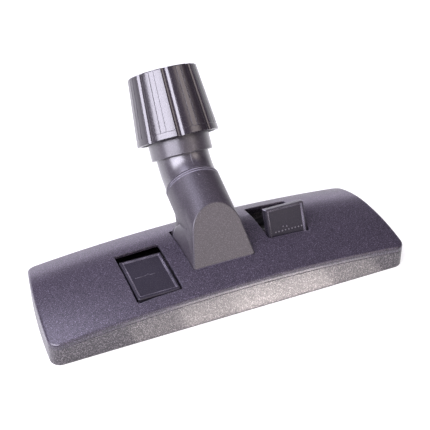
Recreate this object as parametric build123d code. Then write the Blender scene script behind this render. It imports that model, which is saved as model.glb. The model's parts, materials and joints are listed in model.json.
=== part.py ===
from build123d import *
from math import asin, atan2, cos, degrees, radians, sin, sqrt
import os

# Combination floor tool of a vacuum cleaner: wide head, two changeover pedals, tilting and swivelling neck.

# Head, seen from above and from the side (mm). X runs across it, +Y towards the wand, Z up from the floor.
FRONT_HALF = 140.5        # half width along the front edge
BACK_HALF = 132.5         # half width along the back edge
MIDDLE_HALF = 138.8       # half width at mid depth, where the ends bow out
DEPTH = 94.0
CORNER_RADIUS = 8.0
CREST_HEIGHT = 33.0       # highest point of the cover
CREST_Y = 9.4
FRONT_FALL = 5.9          # how far the cover falls from the crest to the front edge
BACK_FALL = 7.8
END_FALL = 8.2            # how far it falls from the middle to the ends

# Walls and the joint between cover and base.
COVER_WALL = 2.4
COVER_EDGE = 3.6          # depth of the cover's rim
COVER_ROUND = 2.2         # radius of the rim's upper edge
BASE_WALL = 2.6
BASE_FOOT = 0.4           # the wall stands this far off the floor
SEAM_WIDTH = 0.7          # shadow groove under the cover's rim
SEAM_DEPTH = 1.0
SEAM_FIT = 0.05
RIB_DEPTH = 5.0           # locating rib inside the base wall
RIB_WALL = 1.6
RIB_FIT = 0.25
FOOT_ROUND = 1.0

# Sole and suction channel.
SOLE_THICKNESS = 1.6
SOLE_INSET = 5.0
SOLE_FIT = 0.2
FLOOR_THICKNESS = 2.0
CHANNEL_FRONT = -10.0
CHANNEL_BACK = 14.0
CHANNEL_END = 20.8        # from the channel's end to the head's end
CHANNEL_TOP = 8.0
CHANNEL_WALL = 1.6
LINT_WIDTH = 6.0
LINT_HALF = 96.0
LINT_FRONT_Y = -27.0
LINT_BACK_Y = 22.0
LINT_RECESS = 0.3

# Neck: a drum on trunnions, a flat face tangent to it that cuts a short tube, and a flared foot.
PIVOT_Y = 3.6
PIVOT_Z = 16.0
DRUM_RADIUS = 29.3
DRUM_HALF = 24.5
DRUM_BEVEL = 2.2          # the drum's ends slope in towards its round by this much
DRUM_BEVEL_DEPTH = 9.0
DRUM_GAP = 0.5
NECK_WALL = 2.2
FACE_LEAN = 31.0          # degrees back from vertical
FACE_EDGE = 1.1           # rounding of the face's arched edge
ARCH_START = 14.0         # degrees up the ellipse where the foot's straight side ends
ARCH_MIDDLE = 20.0        # ellipse of the face's arch: height of its middle, half width, rise
ARCH_HALF = 19.9
ARCH_RISE = 24.0
NARROW_MIDDLE = 48.8      # the same behind, over the pivot, where it sinks into the tube
NARROW_HALF = 19.8
NARROW_RISE = 33.6
NECK_LEAN = 66.9          # degrees back from vertical, axis of the short tube and of the swivel
NECK_OFFSET = 28.0        # the tube's axis passes this far above the pivot
NECK_REACH = 52.5         # from the pivot to the swivel seam, along the tube
NECK_RADIUS = 21.4
NECK_BORE = 18.6
NECK_RIM_CHAMFER = 1.2
RING_LINES = (1.8, 3.5)     # fine lines round the neck, below the swivel seam
RING_LINE_WIDTH = 0.5
RING_LINE_DEPTH = 0.35
NECK_TILT = 24.0          # degrees the neck lies back from rest
DRUM_FRONT_END = 192.0    # degrees round the pivot where the drum's front wall ends
DRUM_BACK_END = 8.0
TRUNNION_RADIUS = 4.5
TRUNNION_LENGTH = 8.0
TRUNNION_FIT = 0.06
BEARING_HALF = 9.0        # half depth of the bearing blocks
BEARING_CAP_HEIGHT = 7.5
CHAMBER_WALL = 1.8
SADDLE_GAP = 0.7          # room under the tube when it lies back
SADDLE_WALL = 2.0
SEAT_BACK_TOP = 20.0
SEAM_GAP = 0.1

# Upper tube, wand socket and clamp collar, measured along the wand's axis from the end of the bend.
WAND_LEAN = 36.0
TUBE_LEAD = 2.3           # straight length between the swivel seam and the bend
BEND_RADIUS = 40.0
TUBE_RADIUS = 20.4
TUBE_BORE = 16.4
SPIGOT_LENGTH = 11.0
SPIGOT_FIT = 0.1
CLIP_DEPTH = 7.2          # from the swivel seam down to the retaining ring
CLIP_THICKNESS = 1.6
CLIP_REACH = 0.6          # how far the ring stands past the neck's bore
SHOULDER_AT = -0.4
SHOULDER_RADIUS = 23.9
SHOULDER_EDGE = 0.4
SHOULDER_END = 22.0
SOCKET_RADIUS = 22.6
SOCKET_BORE = 20.4
SOCKET_FLOOR = 20.0
SOCKET_END = 40.0
SEAL_HEIGHT = 2.4
COLLET_BORE = 18.6
COLLET_AT = 23.0
COLLET_END = 62.0
COLLET_FIT = 0.2
COLLET_SOLID = 6.0        # unslotted foot of the sleeve
COLLET_SLOTS = 6
COLLET_SLOT_WIDTH = 1.6
COLLAR_AT = 12.7
COLLAR_LENGTH = 52.3
COLLAR_RADIUS = 32.0
COLLAR_TOP_RADIUS = 26.9
COLLAR_WALL = 3.0
COLLAR_MOUTH = 19.8
COLLAR_FIT = 0.3
COLLAR_EDGE = 0.6
COLLAR_PADS = 8
VALLEY_RADIUS = 4.2
VALLEY_DEPTH = 1.5
VALLEY_TURN = -12.0       # degrees from the front of the neck to a valley
GROOVE_WIDTH = 0.7
GROOVE_DEPTH = 0.6
GROOVE_SPREAD = 4.2       # degrees either side of a pad's middle
GROOVE_STOP = 4.9         # plain band below the grooves
BAND_LINE = 0.5           # width of the fine line over the band
BAND_DEPTH = 0.35

# Pedals: a framed tread on two ears, turning on a pin deep in the head.
LEFT_PEDAL_X = 55.7
RIGHT_PEDAL_X = 58.5
PEDAL_WIDTH = 32.0
PEDAL_GAP = 1.2
LEFT_OPENING = (-35.2, 17.0)
RIGHT_OPENING = (-10.0, 35.4)
OPENING_CORNER = 1.6
OPENING_EDGE = 0.5        # rounding of the opening's upper edge
TIP_GAP = 1.2             # between the opening's front edge and the tread
TIP_SWING = 0.6           # room in front of the tread's tip as it turns
TREAD_LIFT = 0.3          # the tip of a pressed tread stands this far over the cover
PIN_RADIUS = 1.5
PIN_FIT = 0.05
TREAD_RADIUS = 15.6       # from the pin up to the tread
TREAD_FRONT = 10.8
TREAD_BACK = 31.0
TREAD_THICKNESS = 2.4
TREAD_RIM = 2.4           # raised rim at both sides
TREAD_LIP = 3.2           # and in front
TREAD_BEAD = 2.0          # and behind
TREAD_RECESS = 0.7
TREAD_BEVEL = 40.0        # degrees, slope of the rim's inner side
TREAD_CORNER = 1.6
TREAD_ROUND = 0.8
SKIRT_DEPTH = 6.0
SKIRT_WALL = 1.8
SKIRT_START = 2.0
LEFT_TREAD_SLOPE = 4.3    # degrees, slope of a pressed tread
RIGHT_TREAD_SLOPE = 1.3
PEDAL_SWING = 66.0
EAR_AT = 12.0
EAR_WALL = 2.0
EAR_BOSS = 4.0
CRANK_REACH = 6.0
CRANK_RADIUS = 1.5
LUG_WALL = 2.5
LUG_HALF = 3.6
LUG_GAP = 0.6

# Brush carrier: a frame with two bars that drops through the sole.
BAR_END = 3.4             # the bars end this far before the rear screws
BAR_WIDTH = 5.2
BAR_HEIGHT = 4.0
BAR_BOTTOM = 7.0
BAR_EDGE = 7.6            # from the head's front and back to the bars
BAR_SLOT_GAP = 0.5
BRIDGE_X = 88.0
BRIDGE_WIDTH = 8.0
BRIDGE_BOTTOM = 17.0
BRIDGE_HEIGHT = 3.4
POST_Y = 22.0
POST_RADIUS = 2.5
POST_FIT = 0.15
POST_TOP = 24.0
FORK_WALL = 2.5
FORK_MARGIN = 1.7
FORK_INNER = 1.2
FORK_FIT = 0.25
BRISTLE_WIDTH = 3.6
BRISTLE_BACKING = 1.8
BRISTLE_GROOVE = 1.4
BRISTLE_TIP = 0.4
TUFT_PITCH = 4.0
TUFT_LENGTH = 2.6

# Fasteners.
SCREW_INSET = 14.5        # from the head's ends to the screws
SCREW_FRONT = 13.0        # from the head's front
SCREW_BACK = 14.0         # from the head's back
BOSS_RADIUS = 4.2
BOSS_SPLIT = 11.0
SCREW_RADIUS = 1.5
SCREW_FIT = 0.1
SCREW_HEAD_RADIUS = 3.2
SCREW_HEAD_HEIGHT = 2.0
SCREW_HEAD_AT = 0.9
SCREW_LENGTH = 16.0
CAP_SCREW_SPREAD = 6.8
CAP_SCREW_RADIUS = 1.1
CAP_SCREW_HEAD = 2.1
CAP_SCREW_SINK = 2.0
CAP_SCREW_DEPTH = 4.5

# Values worked out from the sizes above.
FLOOR_TOP = SOLE_THICKNESS + FLOOR_THICKNESS
ARCH_RADIUS = ((MIDDLE_HALF - COVER_ROUND) ** 2 + END_FALL ** 2) / (2 * END_FALL)
FRONT_ARC = ((DEPTH / 2 + CREST_Y) ** 2 + FRONT_FALL ** 2) / (2 * FRONT_FALL)
BACK_ARC = ((DEPTH / 2 - CREST_Y) ** 2 + BACK_FALL ** 2) / (2 * BACK_FALL)
ARCH_AXIS = Axis((0, 0, CREST_HEIGHT - ARCH_RADIUS), (0, 1, 0))
TALL = CREST_HEIGHT + 2 * DRUM_RADIUS
WIDE = 2 * (FRONT_HALF + CORNER_RADIUS)
CHANNEL_HALF = MIDDLE_HALF - CHANNEL_END
PIVOT = Vector(0, PIVOT_Y, PIVOT_Z)
FACE_UP = Vector(0, sin(radians(FACE_LEAN)), cos(radians(FACE_LEAN)))
FACE_OUT = Vector(0, -cos(radians(FACE_LEAN)), sin(radians(FACE_LEAN)))
NECK_DIR = Vector(0, sin(radians(NECK_LEAN)), cos(radians(NECK_LEAN)))
NECK_UP = Vector(0, -cos(radians(NECK_LEAN)), sin(radians(NECK_LEAN)))
WAND_DIR = Vector(0, sin(radians(WAND_LEAN)), cos(radians(WAND_LEAN)))
WAND_UP = Vector(0, -cos(radians(WAND_LEAN)), sin(radians(WAND_LEAN)))
SEAM = PIVOT + NECK_DIR * NECK_REACH + NECK_UP * NECK_OFFSET
BEND_START = SEAM + NECK_DIR * TUBE_LEAD
BEND_CENTRE = BEND_START + NECK_UP * BEND_RADIUS
BEND_END = BEND_CENTRE - WAND_UP * BEND_RADIUS
ACROSS = Vector(1, 0, 0)
STANDING = (Align.CENTER, Align.CENTER, Align.MIN)
FACE_FOOT = PIVOT + FACE_OUT * DRUM_RADIUS


def end_x(y):
    """Half width of the head at a depth, on a parabola through the outline's three points."""
    t = 2 * y / DEPTH
    bow = (FRONT_HALF + BACK_HALF) / 2 - MIDDLE_HALF
    return MIDDLE_HALF + (BACK_HALF - FRONT_HALF) / 2 * t + bow * t * t


def cover_height(x, y):
    """Height of the cover's outside above the floor."""
    arc = FRONT_ARC if y < CREST_Y else BACK_ARC
    radius = ARCH_RADIUS - arc + sqrt(arc ** 2 - (y - CREST_Y) ** 2)
    return CREST_HEIGHT - ARCH_RADIUS + sqrt(radius ** 2 - x ** 2)


def block(x0, x1, y0, y1, z0, z1):
    """Box between two corners."""
    size = (x1 - x0, y1 - y0, z1 - z0)
    return Pos((x0 + x1) / 2, (y0 + y1) / 2, (z0 + z1) / 2) * Box(*size)


def rod_x(radius, x0, x1, y, z):
    """Cylinder along X."""
    plane = Plane(origin=(min(x0, x1), y, z), x_dir=(0, 1, 0), z_dir=(1, 0, 0))
    return extrude(plane * Circle(radius), abs(x1 - x0))


def post(radius, x, y, z0, z1):
    """Upright cylinder."""
    return extrude(Plane((x, y, z0)) * Circle(radius), z1 - z0)


def plan_prism(inset, z0, z1):
    """The head's outline seen from above, moved in and extruded."""
    half = DEPTH / 2
    front = Line((-FRONT_HALF, -half), (FRONT_HALF, -half))
    right = ThreePointArc((FRONT_HALF, -half), (MIDDLE_HALF, 0), (BACK_HALF, half))
    back = Line((BACK_HALF, half), (-BACK_HALF, half))
    left = ThreePointArc((-BACK_HALF, half), (-MIDDLE_HALF, 0), (-FRONT_HALF, -half))
    outline = make_face(front + right + back + left)
    outline = fillet(outline.vertices(), CORNER_RADIUS)
    if inset:
        outline = offset(outline, -inset)
    return extrude(Pos(0, 0, z0) * outline, z1 - z0)


def under_top(drop):
    """Everything under the cover's outside surface lowered by drop, a doubly curved block."""
    front_turn = degrees(asin((DEPTH / 2 + CREST_Y + CORNER_RADIUS) / FRONT_ARC))
    back_turn = degrees(asin((DEPTH / 2 - CREST_Y + CORNER_RADIUS) / BACK_ARC))
    front = CenterArc((CREST_Y, CREST_HEIGHT - FRONT_ARC), FRONT_ARC - drop, 90, front_turn)
    back = CenterArc((CREST_Y, CREST_HEIGHT - BACK_ARC), BACK_ARC - drop, 90, -back_turn)
    low = CREST_HEIGHT - TALL
    sides = Polyline(front @ 1, ((front @ 1).X, low), ((back @ 1).X, low), back @ 1)
    section = Plane.YZ * make_face(front + back + sides)
    half_turn = degrees(asin(WIDE / 2 / ARCH_RADIUS))
    return revolve(section, ARCH_AXIS, 2 * half_turn).rotate(ARCH_AXIS, -half_turn)


def drum(radius, half):
    """Cylinder about the neck's pivot."""
    return rod_x(radius, -half, half, PIVOT_Y, PIVOT_Z)


def wand_plane(at):
    """Plane across the wand's axis."""
    return Plane(origin=BEND_END + WAND_DIR * at, x_dir=ACROSS, z_dir=WAND_DIR)


def turned(points):
    """Ring turned about the wand's axis from (radius, distance) points."""
    plane = Plane(origin=BEND_END, x_dir=ACROSS, z_dir=WAND_UP)
    section = plane * make_face(Polyline(*[(r, a) for r, a in points], close=True))
    return revolve(section, Axis(BEND_END, WAND_DIR), 360)


class Pedal:
    """Places of one pedal: side is -1 for the left one and 1 for the right one."""

    def __init__(self, side, x, opening, slope, raised, crank_way):
        self.side = side
        self.x = side * x
        self.front, self.back = opening
        self.tilt = slope + raised
        lean = radians(slope)
        tip_z = cover_height(x, self.front) + TREAD_LIFT
        self.pin_y = self.front + TIP_GAP + TREAD_FRONT * cos(lean) + TREAD_RADIUS * sin(lean)
        self.pin_z = tip_z + TREAD_FRONT * sin(lean) - TREAD_RADIUS * cos(lean)
        self.crank_way = crank_way
        reach = radians(PEDAL_SWING / 2)
        self.crank_y = self.pin_y + crank_way * CRANK_REACH * cos(reach)
        self.crank_z = self.pin_z + CRANK_REACH * sin(reach)

    def across(self, inner, outer):
        """X range from inner to outer, counted from the pedal's middle towards the head's end."""
        ends = (self.x + self.side * inner, self.x + self.side * outer)
        return min(ends), max(ends)


LEFT = Pedal(-1, LEFT_PEDAL_X, LEFT_OPENING, LEFT_TREAD_SLOPE, 0, -1)
RIGHT = Pedal(1, RIGHT_PEDAL_X, RIGHT_OPENING, RIGHT_TREAD_SLOPE, PEDAL_SWING, 1)
FORK_AT = EAR_AT + EAR_WALL + LUG_GAP
LUG_OUT = FORK_AT + FORK_WALL + LUG_GAP
LUG_IN = EAR_AT + EAR_WALL + LUG_GAP
SIDES = (-1, 1)
SCREW_ROWS = (SCREW_FRONT - DEPTH / 2, DEPTH / 2 - SCREW_BACK)
SCREWS = [(side * (end_x(y) - SCREW_INSET), y) for y in SCREW_ROWS for side in SIDES]
BAR_HALF = end_x(SCREW_ROWS[1]) - SCREW_INSET - BAR_END
BARS = (BAR_EDGE - DEPTH / 2, DEPTH / 2 - BAR_EDGE)


def top_cover():
    """Curved lid with a rounded rim, a locating rib, two pedal openings and the neck's window."""
    shell = plan_prism(0, BASE_FOOT, TALL) & under_top(0)
    low = FLOOR_TOP
    rim = [e for e in shell.edges() if e.bounding_box().min.Z > low and e.bounding_box().size.X > 0.01]
    crest = [e for e in rim if e.bounding_box().size.Y < 0.01 and abs(e.center().Y - CREST_Y) < 0.01]
    shell = fillet([e for e in rim if e not in crest], COVER_ROUND)
    rib_out = BASE_WALL + RIB_FIT
    rib = plan_prism(rib_out, FLOOR_TOP, TALL) & under_top(COVER_WALL)
    rib -= plan_prism(rib_out + RIB_WALL, FLOOR_TOP, TALL)
    rib -= under_top(COVER_EDGE + RIB_DEPTH)
    shell -= under_top(COVER_EDGE)
    shell -= plan_prism(rib_out, FLOOR_TOP, TALL) & under_top(COVER_WALL)
    shell += rib
    saddle = laid_tube(NECK_RADIUS + SADDLE_GAP + SADDLE_WALL) & under_top(COVER_WALL / 2)
    shell += saddle & block(-WIDE, WIDE, PIVOT_Y + DRUM_RADIUS / 2, DEPTH / 2 - BASE_WALL - RIB_FIT, 0, TALL)
    for x, y in SCREWS:
        shell += post(BOSS_RADIUS, x, y, BOSS_SPLIT + SEAM_FIT, TALL) & under_top(COVER_WALL / 2)
        shell -= post(SCREW_RADIUS + SCREW_FIT, x, y, BOSS_SPLIT, SCREW_HEAD_AT + SCREW_LENGTH + 2)
    shell -= drum(DRUM_RADIUS + DRUM_GAP, DRUM_HALF + DRUM_GAP)
    shell -= laid_tube(NECK_RADIUS + SADDLE_GAP)
    half = PEDAL_WIDTH / 2 + PEDAL_GAP
    tip = sqrt(TREAD_FRONT ** 2 + TREAD_RADIUS ** 2) + TIP_SWING
    for pedal in (LEFT, RIGHT):
        middle = (pedal.front + pedal.back) / 2
        opening = RectangleRounded(2 * half, pedal.back - pedal.front, OPENING_CORNER)
        shell -= extrude(Pos(pedal.x, middle, 0) * opening, TALL)
        shell = fillet(opening_edges(shell, pedal, half), OPENING_EDGE)
        sweep = rod_x(tip, pedal.x - half, pedal.x + half, pedal.pin_y, pedal.pin_z)
        shell -= sweep
    return shell


def opening_edges(shell, pedal, half):
    """Upper edges of a pedal's opening."""
    found = []
    for edge in shell.edges():
        middle = edge.center()
        across = abs(middle.X - pedal.x) < half + OPENING_CORNER
        along = pedal.front - OPENING_CORNER < middle.Y < pedal.back + OPENING_CORNER
        low = cover_height(middle.X, middle.Y) - COVER_WALL / 4 if across and along else TALL
        if middle.Z > low and edge.bounding_box().size.Z < COVER_WALL * 3:
            found.append(edge)
    return found


def laid_tube(radius):
    """Where the neck's tube lies when it is tilted right back."""
    lean = radians(NECK_LEAN + NECK_TILT)
    along = Vector(0, sin(lean), cos(lean))
    above = Vector(0, -cos(lean), sin(lean))
    plane = Plane(origin=PIVOT + above * NECK_OFFSET, x_dir=ACROSS, z_dir=along)
    return extrude(plane * Circle(radius), DEPTH)


def pedal_lugs(pedal):
    """Two upright lugs that hold a pedal's pin."""
    lugs = Part()
    for inner in (LUG_OUT, -LUG_IN - LUG_WALL):
        x0, x1 = pedal.across(inner, inner + LUG_WALL)
        lugs += block(x0, x1, pedal.pin_y - LUG_HALF, pedal.pin_y + LUG_HALF, SOLE_THICKNESS, pedal.pin_z)
        lugs += rod_x(LUG_HALF, x0, x1, pedal.pin_y, pedal.pin_z)
    return lugs


def base_body():
    """Tray with the front face, the suction channel, the neck's seat and all bearings."""
    body = plan_prism(0, BASE_FOOT, TALL) & under_top(COVER_EDGE + SEAM_FIT)
    foot = [e for e in body.edges() if e.bounding_box().max.Z < BASE_FOOT + 0.01]
    body = fillet(foot, FOOT_ROUND)
    body -= plan_prism(BASE_WALL, FLOOR_TOP, TALL)
    seam = plan_prism(0, BASE_FOOT, TALL) - plan_prism(SEAM_DEPTH, BASE_FOOT, TALL)
    body -= seam - under_top(COVER_EDGE + SEAM_WIDTH)
    inside = plan_prism(BASE_WALL / 2, SOLE_THICKNESS, TALL) & under_top(COVER_WALL + LUG_GAP)

    wall = CHANNEL_WALL
    body += block(-CHANNEL_HALF - wall, CHANNEL_HALF + wall, CHANNEL_FRONT - wall, CHANNEL_BACK + wall,
                  SOLE_THICKNESS, CHANNEL_TOP)
    fixed = pedal_lugs(LEFT) + pedal_lugs(RIGHT)
    for side in SIDES:
        for y in (-POST_Y, POST_Y):
            fixed += post(POST_RADIUS, side * BRIDGE_X, y, SOLE_THICKNESS, POST_TOP)
    for x, y in SCREWS:
        fixed += post(BOSS_RADIUS, x, y, SOLE_THICKNESS, BOSS_SPLIT)
    body += fixed

    seat_half = DRUM_HALF + DRUM_GAP + CHAMBER_WALL
    seat = drum(DRUM_RADIUS + DRUM_GAP + CHAMBER_WALL, seat_half)
    front = block(-WIDE, WIDE, -DEPTH, PIVOT_Y, SOLE_THICKNESS, TALL)
    back = block(-WIDE, WIDE, PIVOT_Y, DEPTH, SOLE_THICKNESS, SEAT_BACK_TOP)
    body += (seat & front) & inside
    body += seat & back
    for side in SIDES:
        x0, x1 = sorted((side * seat_half, side * (DRUM_HALF + TRUNNION_LENGTH)))
        body += block(x0, x1, PIVOT_Y - BEARING_HALF, PIVOT_Y + BEARING_HALF, CHANNEL_TOP - wall / 2, PIVOT_Z)

    hollow = DRUM_HALF + DRUM_GAP
    body -= drum(DRUM_RADIUS + DRUM_GAP, hollow) & block(-hollow, hollow, -DEPTH, DEPTH, FLOOR_TOP, TALL)
    body -= drum(TRUNNION_RADIUS + TRUNNION_FIT, DRUM_HALF + TRUNNION_LENGTH + 1)
    slot = TRUNNION_RADIUS + DRUM_GAP
    body -= block(-seat_half - 0.01, seat_half + 0.01, PIVOT_Y - slot, PIVOT_Y + slot, PIVOT_Z, TALL)
    body -= block(-CHANNEL_HALF, CHANNEL_HALF, CHANNEL_FRONT, CHANNEL_BACK, 0, CHANNEL_TOP - wall)
    body -= laid_tube(NECK_RADIUS + SADDLE_GAP)
    body -= plan_prism(SOLE_INSET, 0, SOLE_THICKNESS)
    body -= sole_cuts(SOLE_FIT)
    for pedal in (LEFT, RIGHT):
        body -= rod_x(PIN_RADIUS, pedal.x - PEDAL_WIDTH, pedal.x + PEDAL_WIDTH, pedal.pin_y, pedal.pin_z)
    for x, y in SCREWS:
        body -= post(SCREW_RADIUS + SCREW_FIT, x, y, 0, BOSS_SPLIT + 1)
        body -= post(SCREW_HEAD_RADIUS + SCREW_FIT, x, y, 0, SCREW_HEAD_AT + SCREW_HEAD_HEIGHT)
    for x, y in cap_screw_places():
        body -= post(CAP_SCREW_RADIUS, x, y, PIVOT_Z - CAP_SCREW_DEPTH - SCREW_RADIUS / 3, PIVOT_Z + 1)
    return body


def sole_cuts(gap):
    """The two brush slots, through sole and floor."""
    cuts = Part()
    across = BAR_WIDTH / 2 + BAR_SLOT_GAP
    along = BAR_HALF + BAR_SLOT_GAP
    for y in BARS:
        cuts += block(-along, along, y - across, y + across, -1, FLOOR_TOP + gap)
    return cuts


def sole_plate():
    """Steel glide sole with the suction slot, brush slots and windows for the lint strips."""
    plate = plan_prism(SOLE_INSET + SOLE_FIT, 0, SOLE_THICKNESS)
    plate = fillet(plate.edges().group_by(Axis.Z)[0], SOLE_THICKNESS / 2)
    plate -= block(-CHANNEL_HALF, CHANNEL_HALF, CHANNEL_FRONT, CHANNEL_BACK, -1, TALL)
    plate -= sole_cuts(SOLE_FIT)
    for y in (LINT_FRONT_Y, LINT_BACK_Y):
        plate -= lint_strip(y, SOLE_FIT, -1)
    for x, y in SCREWS:
        plate -= post(SCREW_HEAD_RADIUS + SCREW_FIT, x, y, -1, TALL)
    return plate


def lint_strip(y, grow=0.0, bottom=LINT_RECESS):
    """Flat strip of pile that picks up threads."""
    half = LINT_WIDTH / 2 + grow
    return block(-LINT_HALF - grow, LINT_HALF + grow, y - half, y + half, bottom, SOLE_THICKNESS)


def cap_screw_places():
    """Middles of the four bearing screws."""
    x = DRUM_HALF + (DRUM_GAP + CHAMBER_WALL + TRUNNION_LENGTH) / 2
    return [(side * x, PIVOT_Y + way * CAP_SCREW_SPREAD) for side in SIDES for way in SIDES]


def bearing_cap(side):
    """Upper half of a trunnion bearing."""
    inner = DRUM_HALF + DRUM_GAP + CHAMBER_WALL + LUG_GAP
    x0, x1 = sorted((side * inner, side * (DRUM_HALF + TRUNNION_LENGTH)))
    top = PIVOT_Z + BEARING_CAP_HEIGHT
    cap = block(x0, x1, PIVOT_Y - BEARING_HALF, PIVOT_Y + BEARING_HALF, PIVOT_Z, top)
    long_edges = cap.edges().filter_by(Axis.X).group_by(Axis.Z)[-1]
    cap = fillet(long_edges, BEARING_CAP_HEIGHT / 3)
    cap -= drum(TRUNNION_RADIUS + TRUNNION_FIT, WIDE / 2)
    for x, y in cap_screw_places():
        cap -= post(CAP_SCREW_RADIUS + SCREW_FIT, x, y, 0, TALL)
        cap -= post(CAP_SCREW_HEAD + SCREW_FIT, x, y, top - CAP_SCREW_SINK, TALL)
    return cap


def bearing_screws():
    """Four screws that hold the bearing caps."""
    top = PIVOT_Z + BEARING_CAP_HEIGHT - CAP_SCREW_SINK
    screws = []
    for x, y in cap_screw_places():
        screw = post(CAP_SCREW_RADIUS, x, y, PIVOT_Z - CAP_SCREW_DEPTH, top)
        screw += post(CAP_SCREW_HEAD, x, y, top, top + CAP_SCREW_SINK * 0.8)
        screws.append(screw.solid())
    return Compound(children=screws)


def cover_screws():
    """Screws from below that hold sole, base and cover together."""
    screws = []
    for x, y in SCREWS:
        head_top = SCREW_HEAD_AT + SCREW_HEAD_HEIGHT
        screw = post(SCREW_HEAD_RADIUS, x, y, SCREW_HEAD_AT, head_top)
        screw += post(SCREW_RADIUS, x, y, SCREW_HEAD_AT, SCREW_HEAD_AT + SCREW_LENGTH)
        screws.append(screw.solid())
    return Compound(children=screws)


def face_plane(depth):
    """Plane of the neck's flat face moved into the neck, local y up the face."""
    return Plane(origin=FACE_FOOT - FACE_OUT * depth, x_dir=ACROSS, z_dir=FACE_OUT)


def foot_section(depth, middle, half, rise):
    """Section of the flared foot parallel to the face: straight sides that run into an arch."""
    x = half * cos(radians(ARCH_START))
    y = middle + rise * sin(radians(ARCH_START))
    arch = EllipticalCenterArc((0, middle), half, rise, ARCH_START, arc_size=180 - 2 * ARCH_START)
    sides = Polyline((-x, y), (-DRUM_HALF, 0), (DRUM_HALF, 0), (x, y))
    return face_plane(depth) * make_face(sides + arch)


def neck_tube(radius):
    """Straight tube from in front of the face to the swivel seam."""
    plane = Plane(origin=SEAM - NECK_DIR * SEAM_GAP, x_dir=ACROSS, z_dir=-NECK_DIR)
    return extrude(plane * Circle(radius), 3 * NECK_REACH)


def off_face(depth):
    """Everything in front of the face or below its foot."""
    foot = Plane(origin=PIVOT, x_dir=ACROSS, z_dir=-FACE_UP)
    front = extrude(face_plane(depth) * Rectangle(WIDE, 6 * TALL), 2 * TALL)
    return front + extrude(foot * Rectangle(WIDE, 6 * TALL), 2 * TALL)


def drum_mouth():
    """Everything under the line between the ends of the drum's front and back walls."""
    turns = [radians(a) for a in (DRUM_BACK_END, DRUM_FRONT_END)]
    back, front = [PIVOT + Vector(0, cos(a), sin(a)) * DRUM_RADIUS for a in turns]
    slope = (back.Z - front.Z) / (back.Y - front.Y)
    y0 = front.Y - TALL
    y1 = back.Y + TALL
    corners = [(y1, back.Z + TALL * slope), (y0, front.Z - TALL * slope), (y0, -4 * TALL), (y1, -4 * TALL)]
    under = extrude(Plane.YZ * make_face(Polyline(*corners, close=True)), WIDE, both=True)
    reach = PIVOT_Y + DRUM_RADIUS + DRUM_GAP
    return under & block(-WIDE, WIDE, -DEPTH, reach, -5 * TALL, PIVOT_Z + DRUM_RADIUS / 3)


def drum_bevel(side):
    """Ring cut off one end of the drum, so that its side runs on into the foot's."""
    inner = DRUM_RADIUS - DRUM_BEVEL_DEPTH
    corners = [(inner, DRUM_HALF), (DRUM_RADIUS, DRUM_HALF - DRUM_BEVEL),
               (DRUM_RADIUS + DRUM_GAP, DRUM_HALF - DRUM_BEVEL), (DRUM_RADIUS + DRUM_GAP, DRUM_HALF + DRUM_GAP),
               (inner, DRUM_HALF + DRUM_GAP)]
    plane = Plane(origin=PIVOT, x_dir=(0, 1, 0), z_dir=(0, 0, -side))
    ring = make_face(Polyline(*corners, close=True))
    return revolve(plane * ring, Axis(PIVOT, ACROSS), 360)


def neck_elbow():
    """Hollow lower neck: drum, tube cut by the flat face and flared foot, tilting on its trunnions."""
    tube = neck_tube(NECK_RADIUS)
    tube = chamfer(tube.edges().sort_by(Axis(SEAM, NECK_DIR))[-1], NECK_RIM_CHAMFER)
    behind = foot_section(DRUM_RADIUS, NARROW_MIDDLE, NARROW_HALF, NARROW_RISE)
    foot = loft([foot_section(0, ARCH_MIDDLE, ARCH_HALF, ARCH_RISE), behind], ruled=True)
    rim = [e for e in foot.edges() if abs((e.center() - FACE_FOOT).dot(FACE_OUT)) < 0.01]
    rim = [e for e in rim if (e.center() - FACE_FOOT).dot(FACE_UP) > FACE_EDGE]
    foot = fillet(rim, FACE_EDGE)
    seam = Plane(origin=SEAM - NECK_DIR * 2 * NECK_RIM_CHAMFER, x_dir=ACROSS, z_dir=NECK_DIR)
    foot -= extrude(seam * Rectangle(WIDE, 6 * TALL), 2 * TALL)
    barrel = drum(DRUM_RADIUS, DRUM_HALF)
    for side in SIDES:
        barrel -= drum_bevel(side)
    outside = foot + barrel
    outside += tube - off_face(FACE_EDGE)
    outside -= drum(DRUM_RADIUS - NECK_WALL, DRUM_HALF - NECK_WALL - DRUM_BEVEL)
    outside -= neck_tube(NECK_BORE) - off_face(NECK_WALL)
    outside -= drum_mouth()
    for drop in RING_LINES:
        line = Plane(origin=SEAM - NECK_DIR * drop, x_dir=ACROSS, z_dir=-NECK_DIR)
        ring = Circle(NECK_RADIUS + NECK_WALL) - Circle(NECK_RADIUS - RING_LINE_DEPTH)
        outside -= extrude(line * ring, RING_LINE_WIDTH)
    relief = Plane(origin=SEAM - NECK_DIR * SPIGOT_LENGTH * 1.3, x_dir=ACROSS, z_dir=NECK_DIR)
    outside -= extrude(relief * Circle(NECK_BORE + CLIP_REACH + SPIGOT_FIT), SPIGOT_LENGTH * 1.3 - CLIP_DEPTH)
    for side in SIDES:
        inner = DRUM_HALF - NECK_WALL - DRUM_BEVEL
        outside += rod_x(TRUNNION_RADIUS + 2, side * inner, side * DRUM_HALF, PIVOT_Y, PIVOT_Z)
        outside += rod_x(TRUNNION_RADIUS, side * inner, side * (DRUM_HALF + TRUNNION_LENGTH), PIVOT_Y, PIVOT_Z)
    return outside


def bend(radius):
    """Bent length of tube between the swivel seam and the straight socket."""
    section = Plane(origin=BEND_START, x_dir=ACROSS, z_dir=NECK_DIR) * Circle(radius)
    return revolve(section, Axis(BEND_CENTRE, ACROSS), NECK_LEAN - WAND_LEAN)


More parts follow.
